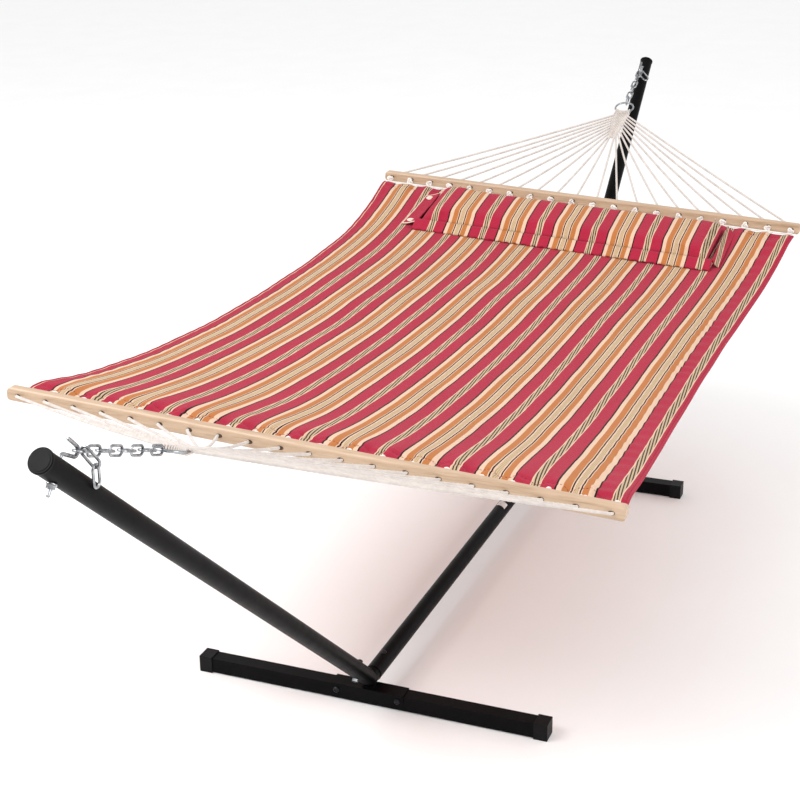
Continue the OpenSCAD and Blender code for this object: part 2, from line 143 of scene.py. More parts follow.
def smoothed(points, rounds):
    """Rounds the corners of a polyline and keeps its ends."""
    points = np.array(points, float)
    for _ in range(rounds):
        points[1:-1] = points[1:-1] / 2 + (points[:-2] + points[2:]) / 4
    return points


def sweep(points, radius, sides=10, lay=None, closed=False):
    """A tube along points. lay is the length of one turn of a three-strand rope's twist."""
    points = np.asarray(points, float)
    count = len(points)
    if closed:
        tangents = np.roll(points, -1, axis=0) - np.roll(points, 1, axis=0)
    else:
        tangents = np.gradient(points, axis=0)
    tangents /= np.linalg.norm(tangents, axis=1)[:, None]
    side = np.cross(tangents[0], (0, 0, 1) if abs(tangents[0][2]) < 0.9 else (0, 1, 0))
    sides_along = []
    for tangent in tangents:
        side = unit(side - side.dot(tangent) * tangent)
        sides_along.append(side)
    first = np.array(sides_along)
    second = np.cross(tangents, first)
    along = np.concatenate(([0], np.cumsum(np.linalg.norm(np.diff(points, axis=0), axis=1))))
    angle = np.linspace(0, 2 * math.pi, sides, endpoint=False)[None, :]
    radii = np.full((count, sides), radius) if np.isscalar(radius) else np.repeat(
        np.asarray(radius)[:, None], sides, axis=1)
    if lay:
        lobes = np.abs(np.cos(1.5 * angle + 3 * math.pi * along[:, None] / lay))
        radii = radii * (0.70 + 0.36 * lobes ** 0.7)
    ring = (points[:, None, :] + (radii * np.cos(angle))[:, :, None] * first[:, None, :]
            + (radii * np.sin(angle))[:, :, None] * second[:, None, :])
    verts = ring.reshape(-1, 3)
    faces = []
    for i in range(count if closed else count - 1):
        a, b = i * sides, (i + 1) % count * sides
        faces += [(a + k, a + (k + 1) % sides, b + (k + 1) % sides, b + k) for k in range(sides)]
    if not closed:
        faces.append(tuple(range(sides - 1, -1, -1)))
        faces.append(tuple((count - 1) * sides + k for k in range(sides)))
    return verts, faces


def merged(parts):
    verts, faces, start = [], [], 0
    for v, f in parts:
        verts.append(np.asarray(v, float))
        faces += [tuple(k + start for k in face) for face in f]
        start += len(v)
    return np.concatenate(verts), faces


def make_piece(name, part, material, body, replaces=(), smooth=True, cloth=None):
    """A mesh object from (verts, faces) that rides on a body. cloth is a pattern place for each vertex."""
    verts, faces = part
    mesh = bpy.data.meshes.new(name)
    mesh.from_pydata([tuple(v) for v in verts], [], faces)
    mesh.validate()
    mesh.polygons.foreach_set("use_smooth", [smooth] * len(mesh.polygons))
    if cloth is not None:
        attribute = mesh.attributes.new("cloth", "FLOAT_VECTOR", "POINT")
        attribute.data.foreach_set("vector", np.asarray(cloth, np.float32).ravel())
    mesh.update()
    piece = bpy.data.objects.new(name, mesh)
    bpy.context.scene.collection.objects.link(piece)
    mesh.materials.append(material)
    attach(piece, body)
    if replaces:
        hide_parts(*replaces)
    return piece


# ---- Materials ----

def srgb(code):
    """A linear colour from a six-digit hexadecimal code."""
    parts = [int(code[k:k + 2], 16) / 255 for k in (0, 2, 4)]
    return tuple(p / 12.92 if p <= 0.04045 else ((p + 0.055) / 1.055) ** 2.4 for p in parts) + (1.0,)


class Nodes:
    """A new material and short ways to add nodes to it."""

    def __init__(self, name):
        self.material = bpy.data.materials.new(name)
        self.material.use_nodes = True
        self.tree = self.material.node_tree
        self.shader = self.tree.nodes["Principled BSDF"]

    def link(self, a, b):
        self.tree.links.new(a, b)

    def add(self, kind, **settings):
        node = self.tree.nodes.new(kind)
        for key, value in settings.items():
            setattr(node, key, value)
        return node

    def object_coords(self):
        return self.add("ShaderNodeTexCoord").outputs["Object"]

    def noise(self, coords, scale, detail=4.0, roughness=0.55):
        node = self.add("ShaderNodeTexNoise")
        node.inputs["Scale"].default_value = scale
        node.inputs["Detail"].default_value = detail
        node.inputs["Roughness"].default_value = roughness
        self.link(coords, node.inputs["Vector"])
        return node.outputs["Fac"]

    def math(self, operation, a, b=0.0, c=None):
        node = self.add("ShaderNodeMath", operation=operation)
        for socket, value in zip(node.inputs, (a, b, c)):
            if value is None:
                continue
            if isinstance(value, (int, float)):
                socket.default_value = value
            else:
                self.link(value, socket)
        return node.outputs[0]

    def ramp(self, factor, stops, steps=False):
        node = self.add("ShaderNodeValToRGB")
        ramp = node.color_ramp
        if steps:
            ramp.interpolation = "CONSTANT"
        while len(ramp.elements) < len(stops):
            ramp.elements.new(0.5)
        for element, (place, colour) in zip(ramp.elements, stops):
            element.position = place
        for element, (place, colour) in zip(ramp.elements, stops):
            element.color = colour
        self.link(factor, node.inputs["Fac"])
        return node.outputs["Color"]

    def mix(self, factor, a, b, blend="MIX"):
        node = self.add("ShaderNodeMix", data_type="RGBA", blend_type=blend)
        for socket, value in ((node.inputs[0], factor), (node.inputs[6], a), (node.inputs[7], b)):
            if isinstance(value, (int, float, tuple)):
                socket.default_value = value
            else:
                self.link(value, socket)
        return node.outputs[2]

    def bump(self, height, strength, distance, normal=None):
        node = self.add("ShaderNodeBump")
        node.inputs["Strength"].default_value = strength
        node.inputs["Distance"].default_value = distance
        self.link(height, node.inputs["Height"])
        if normal is not None:
            self.link(normal, node.inputs["Normal"])
        return node.outputs["Normal"]

    def finish(self, colour=None, roughness=None, normal=None, **plain):
        for name, value in (("Base Color", colour), ("Roughness", roughness), ("Normal", normal)):
            if value is None:
                continue
            if isinstance(value, (int, float, tuple)):
                self.shader.inputs[name].default_value = value
            else:
                self.link(value, self.shader.inputs[name])
        for name, value in plain.items():
            self.shader.inputs[name.replace("_", " ")].default_value = value
        return self.material


def grey_range(n, factor, low, high):
    """Maps a 0 to 1 factor onto a range."""
    return n.math("MULTIPLY_ADD", factor, high - low, low)


def powder_coat():
    n = Nodes("black_powder_coat")
    at = n.object_coords()
    cloud = n.noise(at, 6.0)
    grain = n.noise(at, 900.0, 2.0)
    colour = n.ramp(cloud, [(0.3, srgb("060607")), (0.7, srgb("0D0C0E"))])
    roughness = grey_range(n, n.noise(at, 40.0), 0.34, 0.52)
    return n.finish(colour, roughness, n.bump(grain, 0.35, 0.0004), Specular_IOR_Level=0.06)


def black_plastic():
    n = Nodes("black_moulded_plastic")
    at = n.object_coords()
    colour = n.ramp(n.noise(at, 25.0), [(0.3, srgb("080809")), (0.7, srgb("100F11"))])
    roughness = grey_range(n, n.noise(at, 60.0), 0.42, 0.60)
    return n.finish(colour, roughness, n.bump(n.noise(at, 500.0, 2.0), 0.25, 0.0004), Specular_IOR_Level=0.14)


def zinc_plate():
    n = Nodes("bright_zinc")
    at = n.object_coords()
    cloud = n.noise(at, 90.0)
    colour = n.ramp(cloud, [(0.25, srgb("6C6E71")), (0.75, srgb("BFC1C4"))])
    roughness = grey_range(n, n.noise(at, 160.0), 0.16, 0.36)
    return n.finish(colour, roughness, n.bump(n.noise(at, 700.0, 2.0), 0.12, 0.0004), Metallic=1.0)


def black_zinc():
    n = Nodes("black_zinc")
    at = n.object_coords()
    colour = n.ramp(n.noise(at, 120.0), [(0.3, srgb("1C1C1E")), (0.7, srgb("3A3A3D"))])
    roughness = grey_range(n, n.noise(at, 200.0), 0.28, 0.42)
    return n.finish(colour, roughness, n.bump(n.noise(at, 700.0, 2.0), 0.12, 0.0004), Metallic=1.0)


def cotton_rope(name, shade, light):
    n = Nodes(name)
    at = n.object_coords()
    colour = n.ramp(n.noise(at, 45.0), [(0.25, srgb(shade)), (0.75, srgb(light))])
    fibre = n.noise(at, 1500.0, 3.0, 0.7)
    return n.finish(colour, 0.9, n.bump(fibre, 0.5, 0.0006), Sheen_Weight=0.25)


def pale_wood():
    n = Nodes("pale_varnished_wood")
    at = n.object_coords()
    stretch = n.add("ShaderNodeMapping")
    stretch.inputs["Scale"].default_value = (14.0, 0.7, 14.0)
    n.link(at, stretch.inputs["Vector"])
    wavy = n.noise(stretch.outputs[0], 5.0, 5.0, 0.6)
    fine = n.noise(stretch.outputs[0], 22.0, 3.0, 0.6)
    grain = n.math("MULTIPLY_ADD", fine, 0.45, n.math("MULTIPLY", wavy, 0.55))
    colour = n.ramp(grain, [(0.30, srgb("94795E")), (0.48, srgb("B2967B")), (0.70, srgb("C1A78E"))])
    roughness = grey_range(n, wavy, 0.34, 0.50)
    return n.finish(colour, roughness, n.bump(fine, 0.25, 0.0008), Coat_Weight=0.15, Coat_Roughness=0.25)


# Painted shade: a dark brown that stands for the shaded inside of the bar's holes.
def hole_shade_paint():
    n = Nodes("painted_hole_shade")
    at = n.object_coords()
    colour = n.ramp(n.noise(at, 200.0), [(0.3, srgb("2E1F14")), (0.7, srgb("5A412C"))])
    return n.finish(colour, 0.8, n.bump(n.noise(at, 900.0), 0.3, 0.0004))


STRIPE_PERIOD = 0.1692
DARK, CREAM, ORANGE = srgb("1E0A0E"), srgb("D4B59C"), srgb("B26E3C")
RED, BEIGE, OLIVE = srgb("A3213A"), srgb("AA9070"), srgb("BCA585")
# One repeat of the woven pattern, across the bed: relative widths and colours
STRIPES = [(8, DARK), (23, CREAM), (32, ORANGE), (4, CREAM), (8, DARK), (7, CREAM), (23, BEIGE), (6, CREAM),
           (8, DARK), (4, CREAM), (30, ORANGE), (23, CREAM), (8, DARK), (68, RED), (6, CREAM), (32, OLIVE),
           (6, CREAM), (67, RED)]
STRIPE_TOTAL = sum(width for width, _ in STRIPES)


def stripe_stops(pick):
    """Ramp stops for one repeat, with each stripe's colour put through pick."""
    stops, place = [], 0
    for width, colour in STRIPES:
        stops.append((place / STRIPE_TOTAL, pick(colour)))
        place += width
    return stops


def striped_fabric(name="striped_quilted_fabric", red_only=False):
    """Woven stripes. The cloth attribute holds metres across the stripes and metres along them."""
    white, black = (1, 1, 1, 1), (0, 0, 0, 1)
    n = Nodes(name)
    place = n.add("ShaderNodeAttribute", attribute_name="cloth").outputs["Vector"]
    split = n.add("ShaderNodeSeparateXYZ")
    n.link(place, split.inputs[0])
    across, along = split.outputs[0], split.outputs[1]
    wobble = n.math("MULTIPLY", n.math("SUBTRACT", n.noise(place, 9.0, 2.0), 0.5), 0.004)
    repeat = n.math("FRACT", n.math("DIVIDE", n.math("ADD", across, wobble), STRIPE_PERIOD))
    if red_only:
        colour = n.ramp(repeat, [(0.0, RED), (1.0, RED)])
    else:
        colour = n.ramp(repeat, stripe_stops(lambda c: c), steps=True)
        # Slanted dark threads in the olive band, and finer slanted ones in the beige band
        olive = n.ramp(repeat, stripe_stops(lambda c: white if c is OLIVE else black), steps=True)
        beige = n.ramp(repeat, stripe_stops(lambda c: white if c is BEIGE else black), steps=True)
        slant = n.math("FRACT", n.math("DIVIDE", n.math("MULTIPLY_ADD", along, 0.09, across), 0.0066))
        thread = n.math("LESS_THAN", slant, 0.46)
        fine_slant = n.math("FRACT", n.math("DIVIDE", n.math("MULTIPLY_ADD", along, -0.10, across), 0.0040))
        fine_thread = n.math("LESS_THAN", fine_slant, 0.42)
        colour = n.mix(n.math("MULTIPLY", thread, olive), colour, srgb("3E2C22"))
        faint = n.math("MULTIPLY", n.math("MULTIPLY", fine_thread, beige), 0.55)
        colour = n.mix(faint, colour, srgb("DCC4A0"))
    # Yarn: small uneven shade along and across, and broad soft variation
    yarn = n.add("ShaderNodeMapping")
    yarn.inputs["Scale"].default_value = (900.0, 120.0, 1.0)
    n.link(place, yarn.inputs["Vector"])
    slub = n.noise(yarn.outputs[0], 1.0, 2.0)
    broad = n.noise(place, 5.0, 3.0)
    shade = n.math("MULTIPLY_ADD", slub, 0.16, n.math("MULTIPLY_ADD", broad, 0.16, 0.82))
    shaded = n.add("ShaderNodeVectorMath", operation="SCALE")
    n.link(colour, shaded.inputs[0])
    n.link(shade, shaded.inputs["Scale"])
    # Weave: crossing threads a little over a millimetre apart
    turn = 2 * math.pi / 0.0013
    warp = n.math("SINE", n.math("MULTIPLY", across, turn))
    weft = n.math("SINE", n.math("MULTIPLY", along, turn))
    weave = n.math("MULTIPLY_ADD", warp, weft, n.math("MULTIPLY", slub, 1.5))
    crease = n.bump(n.noise(place, 28.0, 4.0), 0.22, 0.004)
    normal = n.bump(weave, 0.35, 0.0005, crease)
    return n.finish(shaded.outputs[0], 0.86, normal, Sheen_Weight=0.06, Specular_IOR_Level=0.15)


def thread_cotton(code, name):
    n = Nodes(name)
    at = n.object_coords()
    colour = n.ramp(n.noise(at, 300.0), [(0.2, srgb(code)), (0.9, srgb("E6D6C2"))])
    return n.finish(colour, 0.85, n.bump(n.noise(at, 1800.0), 0.4, 0.0004), Sheen_Weight=0.2)


def red_thread():
    n = Nodes("red_thread")
    at = n.object_coords()
    colour = n.ramp(n.noise(at, 400.0), [(0.3, srgb("7E1A2C")), (0.7, srgb("A02840"))])
    return n.finish(colour, 0.8, n.bump(n.noise(at, 1600.0), 0.4, 0.0004))


def button_plastic():
    n = Nodes("cream_button")
    at = n.object_coords()
    colour = n.ramp(n.noise(at, 120.0), [(0.3, srgb("D8C8B4")), (0.7, srgb("EDE2D4"))])
    roughness = grey_range(n, n.noise(at, 200.0), 0.22, 0.36)
    return n.finish(colour, roughness, n.bump(n.noise(at, 300.0), 0.08, 0.0004))


def label_film():
    n = Nodes("blank_label_film")
    at = n.object_coords()
    colour = n.ramp(n.noise(at, 60.0), [(0.3, srgb("C9C5C2")), (0.7, srgb("E6E3E0"))])
    roughness = grey_range(n, n.noise(at, 90.0), 0.30, 0.45)
    return n.finish(colour, roughness, n.bump(n.noise(at, 220.0), 0.10, 0.0005))


STEEL, PLASTIC, ZINC = powder_coat(), black_plastic(), zinc_plate()
# The second wood is painted shade for the insides of the bar's holes.
WOOD, HOLE_SHADE = pale_wood(), hole_shade_paint()
ROPE = cotton_rope("cream_cotton_rope", "B8AEA8", "D3CAC3")
# Painted light: a lighter copy of the rope colour for the knots and hem cord, brightened to make up for the bar's
# shade on them.
PAINTED_LIGHT_ROPE = cotton_rope("rope_painted_lighter", "D2CAC4", "F2EDE8")
FABRIC, RED_FABRIC = striped_fabric(), striped_fabric("plain_red_fabric", red_only=True)
PIPING, THREAD = thread_cotton("CDB9A2", "cream_piping"), red_thread()
BUTTON, LABEL = button_plastic(), label_film()


def dress_cad_nodes():
    """Gives each CAD node that stays in view the material of its slot, and the saddle and tube bolts black zinc
    instead.
    """
    finishes = {"black_steel": STEEL, "black_plastic": PLASTIC, "zinc": ZINC, "cream_rope": ROPE,
                "pale_wood": WOOD, "striped_fabric": FABRIC, "cream_button": BUTTON}
    black_zinc_finish = black_zinc()
    for row in frame["record"]["subparts"]:
        node = frame["nodes"][row["node"]]
        node.data.materials.clear()
        dark_bolts = row["node"] in ("saddle_bolts", "tube_bolts")
        node.data.materials.append(black_zinc_finish if dark_bolts else finishes[row["material_slot"]])


dress_cad_nodes()

# ---- Ropes, clews, hem cords and knots ----

ROPE_R = 0.0033
ROPE_LAY = 0.031
CLEW_LENGTH = 0.150
CLEW_START = 0.0345
CLEW_TOP_HALF = 0.025
CLEW_TIP_HALF = 0.009
RING_R = 0.031
RING_WIRE_R = 0.003
ACROSS = np.array((0.0, 1.0, 0.0))


def clew_half(s):
    return CLEW_TOP_HALF + (CLEW_TIP_HALF - CLEW_TOP_HALF) * s / CLEW_LENGTH


def pull_frame(end):
    """Ring centre, the direction from the ring to the bar, and the upward normal of the clew."""
    centre = np.array(RING[end])
    towards = np.array(BAR[end]) - centre
    towards[1] = 0
    along = unit(towards)
    normal = unit(np.cross(along, ACROSS))
    return centre, along, normal if normal[2] > 0 else -normal


def make_ropes(end, sign):
    """Twenty ropes from the clew's edges through the bar to the knots. sign is the bed's side of the bar."""
    centre, along, _ = pull_frame(end)
    lead, parts = 0.012, []
    for i in range(ROPES):
        k = min(i, ROPES - 1 - i)
        s = lead + (CLEW_LENGTH - 2 * lead) * k / (ROPES / 2 - 1)
        side = -1 if i < ROPES / 2 else 1
        leave = centre + along * (CLEW_START + s) + ACROSS * side * (clew_half(s) - ROPE_R)
        tuck = leave - along * 0.016 - ACROSS * side * 0.003
        x = BAR[end].x
        mouth = tilted(x - sign * (BAR_T / 2 + 0.003), hole_y(i), BAR_Z)
        back = tilted(x + sign * (BAR_T / 2 + 0.002), hole_y(i), BAR_Z)
        knot = tilted(x + sign * (HEM_CORD_GAP - 0.003), hole_y(i), HEM_Z + 0.002)
        # A taut rope still hangs a little
        sag = 0.004 + 0.003 * noise.noise(Vector((i * 1.7, 3.1, sign)))
        t = np.linspace(0, 1, 30)[:, None]
        span = leave + (mouth - leave) * t - np.array((0, 0, 1)) * sag * 4 * t * (1 - t)
        path = np.concatenate(([tuck], span, [back, knot]))
        parts.append(sweep(smoothed(resampled(path, 0.0026), 2), ROPE_R, 15, ROPE_LAY))
    return make_piece(end + "_spread_ropes", merged(parts), ROPE, "hammock", [end + "_ropes"])


def make_clew(end):
    """A plain weave of thick strands, narrowing to a V, whose long strands loop round the ring."""
    centre, along, normal = pull_frame(end)
    pitch, row, lift, r = 0.0046, 0.0056, 0.0017, 0.0025
    start = centre + along * CLEW_START
    parts = []

    def at(s, v, h):
        return start + along * s + ACROSS * v + normal * h

    for j in range(-5, 6):
        v = j * pitch
        last = CLEW_LENGTH * (CLEW_TOP_HALF - abs(v)) / (CLEW_TOP_HALF - CLEW_TIP_HALF)
        last = min(CLEW_LENGTH - 0.002, last)
        phase = 1 if j % 2 else -1
        wave = [at(s, v, phase * lift * math.cos(math.pi * s / row)) for s in np.arange(0, last, row / 4)]
        wire = centre + along * math.sqrt(RING_R ** 2 - v ** 2) + ACROSS * v
        loop_r = RING_WIRE_R + r + 0.0002
        loop = [wire + loop_r * (normal * math.cos(a) - along * math.sin(a))
                for a in np.linspace(0, math.pi, 13)]
        over, under = at(0.006, v, lift + 0.0005), at(0.006, v, -lift - 0.0005)
        parts.append(sweep(resampled([over, *loop, under], 0.0018), r * 0.92, 9, 0.018))
        if len(wave) > 3:
            parts.append(sweep(wave, r, 9, 0.018))
    for m in range(int(CLEW_LENGTH / row)):
        s = (m + 0.5) * row
        half = clew_half(s) + 0.001
        phase = 1 if m % 2 else -1
        cross = [at(s, v, phase * lift * math.cos(math.pi * v / pitch)) for v in np.linspace(-half, half, 41)]
        parts.append(sweep(cross, r, 9, 0.018))
    for side in (-1, 1):
        edge = [at(s, side * (clew_half(s) + 0.001), 0) for s in np.linspace(0.002, CLEW_LENGTH, 60)]
        parts.append(sweep(edge, r, 9, 0.018))
    return make_piece(end + "_woven_clew", merged(parts), ROPE, "hammock", [end + "_clew"])


def make_hem_cord(end, sign):
    """The cord between the knots bows towards the bed, through the fabric's hem."""
    bow, past, x = 0.005, 0.008, BAR[end].x + sign * HEM_CORD_GAP
    y = np.arange(hole_y(0) - past, hole_y(ROPES - 1) + past, 0.0025)
    phase = (y - hole_y(0)) / HOLE_PITCH * math.pi
    path = np.stack([x + sign * bow * np.abs(np.sin(phase)), y, np.full(len(y), HEM_Z)], axis=1)
    part = sweep(tilt_all(path), 0.0024, 12, 0.022)
    return make_piece(end + "_twisted_hem_cord", part, PAINTED_LIGHT_ROPE, "hammock",
                      [end + "_hem_cord"])


def knot_parts(place, turn, tail, sign):
    """A trefoil knot with a short tail that hangs from it."""
    size, r = 0.0030, 0.0030
    t = np.linspace(0, 2 * math.pi, 40, endpoint=False)
    loop = size * np.stack([np.sin(t) + 2 * np.sin(2 * t), np.cos(t) - 2 * np.cos(2 * t), -np.sin(3 * t)],
                           axis=1)
    c, s = math.cos(turn), math.sin(turn)
    spin = np.array(((c, -s, 0), (s, c, 0), (0, 0, 1)))
    tip = np.array(((0, 0, 1), (0, 1, 0), (-1, 0, 0)))
    parts = [sweep(place + loop @ spin.T @ tip.T, r, 8, 0.008, closed=True)]
    end = place + np.array((sign * 0.005, 0.003 * math.cos(turn), -tail))
    bend = place + np.array((sign * 0.006, 0.002 * math.sin(turn), -tail * 0.4))
    tail_path = smoothed(resampled([place, bend, end], 0.0014), 3)
    flare = np.interp(np.linspace(0, 1, len(tail_path)), [0, 0.75, 1], [1, 1, 1.35]) * r * 0.95
    parts.append(sweep(tail_path, flare, 8, 0.008))
    return parts


def make_knots(end, sign):
    parts = []
    for i in range(ROPES):
        place = tilted(BAR[end].x + sign * (HEM_CORD_GAP - 0.010), hole_y(i), HEM_Z + 0.006)
        tail = 0.012 + 0.006 * abs(noise.noise(Vector((i * 2.3, sign, 0.4))))
        parts += knot_parts(place, 1.3 * i, tail, sign)
    return make_piece(end + "_tied_knots", merged(parts), PAINTED_LIGHT_ROPE, "hammock",
                      [end + "_knots"])


MOUTH_HALF_WIDTH, MOUTH_HALF_HEIGHT = 0.0078, 0.0050


def make_hole_mouths(end, sign):
    """Dark discs of painted shade at each hole, on both faces of the bar: they stand for the shaded inside of the
    hole round each rope.
    """
    turns = np.linspace(0, 2 * math.pi, 21)[:-1]
    parts = []
    for i in range(ROPES):
        for face in (-1, 1):
            x = BAR[end].x + sign * face * (BAR_T / 2 + 0.0001)
            lean = 0.0030 * np.sign(hole_y(i)) if face < 0 else 0.0
            rings = []
            for share, proud in ((1.0, -0.0004), (0.92, 0.0003), (0.55, 0.0001)):
                rings.append(tilt_all([(x + sign * face * proud,
                                        hole_y(i) - lean + MOUTH_HALF_WIDTH * share * math.cos(a),
                                        BAR_Z + MOUTH_HALF_HEIGHT * share * math.sin(a)) for a in turns]))
            faces = []
            for r in range(2):
                faces += [(r * 20 + k, r * 20 + (k + 1) % 20, (r + 1) * 20 + (k + 1) % 20, (r + 1) * 20 + k)
                          for k in range(20)]
            faces += [tuple(range(19, -1, -1)), tuple(range(40, 60))]
            parts.append((np.concatenate(rings), faces))
    return make_piece(end + "_hole_mouths", merged(parts), HOLE_SHADE, "hammock")


for END, SIGN in (("near", 1), ("far", -1)):
    make_hole_mouths(END, SIGN)
    make_ropes(END, SIGN)
    make_clew(END)
    make_hem_cord(END, SIGN)
    make_knots(END, SIGN)

# ---- Hooks ----

def arc(centre, radius, start, stop, steps):
    """Points on an arc in the XZ plane. Angles are in degrees from +X towards +Z."""
    angles = np.radians(np.linspace(start, stop, steps))
    return [(centre[0] + radius * math.cos(a), 0.0, centre[1] + radius * math.sin(a)) for a in angles]


# The arm's slanted axis: its top end, its run along X, and the height of the elbow's corner
ARM_TOP_X, ARM_TOP_Z, ARM_RUN, ELBOW_Z = 1.955, 1.138, 1.235, 0.06291


def make_hook(end, sign):
    """A bent rod with a threaded stub below the arm. sign is -1 at the near end, where X is negative."""
    tilt = math.atan2(ARM_TOP_Z - ELBOW_Z, ARM_RUN)
    along = np.array((math.cos(tilt), -math.sin(tilt)))
    normal = np.array((math.sin(tilt), math.cos(tilt)))
    axis = np.array((-ARM_TOP_X, ARM_TOP_Z)) + 0.045 * along
    shank = axis + 0.022 * normal + 0.008 * along
    dip = math.radians(-30)
    dip_start = shank + 0.008 * np.array((-math.sin(dip), math.cos(dip)))
    dip_end = dip_start + 0.030 * np.array((math.cos(dip), math.sin(dip)))
    seat = dip_end + 0.009 * np.array((-math.sin(dip), math.cos(dip)))
    foot = axis - 0.043 * normal
    free = math.radians(135)
    bend_end = seat + 0.009 * np.array((math.sin(free), -math.cos(free)))
    tip = bend_end + 0.030 * np.array((math.cos(free), math.sin(free)))
    path = ([(foot[0], 0, foot[1])] + arc(shank, 0.008, 180 - math.degrees(tilt), 60, 12)
            + arc(seat, 0.009, -120, 45, 24) + [(tip[0], 0, tip[1])])
    path = resampled(path, 0.0008)
    along_rod = np.linspace(0, 1, len(path)) * np.linalg.norm(np.diff(path, axis=0), axis=1).sum()
    radius = np.full(len(path), 0.0035)
    # Rolled thread on the first stretch, then plain rod with a chamfer at each end
    threaded = along_rod < 0.030
    radius[threaded] -= 0.00035 * (1 + np.sin(2 * math.pi * along_rod[threaded] / 0.0016)) / 2
    ends = np.minimum(along_rod, along_rod[-1] - along_rod)
    radius *= np.clip(0.72 + ends / 0.0016 * 0.28, 0, 1)
    path[:, 0] *= -sign
    part = sweep(path, radius, 20)
    return make_piece(end + "_bent_hook", part, ZINC, "stand", [end + "_hook"])


make_hook("near", -1)
make_hook("far", 1)

# ---- Quilted bed ----

BED_HALF, BED_WAIST, BED_SAG = 0.686, 0.042, 0.084
BED_LOW_X, NEAR_POWER, FAR_POWER = 0.150, 2.3, 3.6
BED_T = 0.009
BED_MID_X = (NEAR_HEM + FAR_HEM) / 2
FIRST_STRIPE = 0.038
HEM_STITCH = 0.030


def bed_z(x):
    x = np.clip(x, NEAR_HEM, FAR_HEM)
    near = np.clip((BED_LOW_X - x) / (BED_LOW_X - NEAR_HEM), 0, None) ** NEAR_POWER
    far = np.clip((x - BED_LOW_X) / (FAR_HEM - BED_LOW_X), 0, None) ** FAR_POWER
    return HEM_Z - BED_SAG * (1 - near - far)


def bed_half(x):
    return BED_HALF - BED_WAIST * (1 - ((x - BED_MID_X) / (BED_LENGTH / 2)) ** 2)


def ripple(a, b, seed):
    """Smooth noise over two arrays."""
    flat = [noise.noise(Vector((p, q, seed))) for p, q in zip(a.ravel(), b.ravel())]
    return np.array(flat).reshape(a.shape)


def bell(distance, width):
    return np.exp(-(distance / width) ** 2)


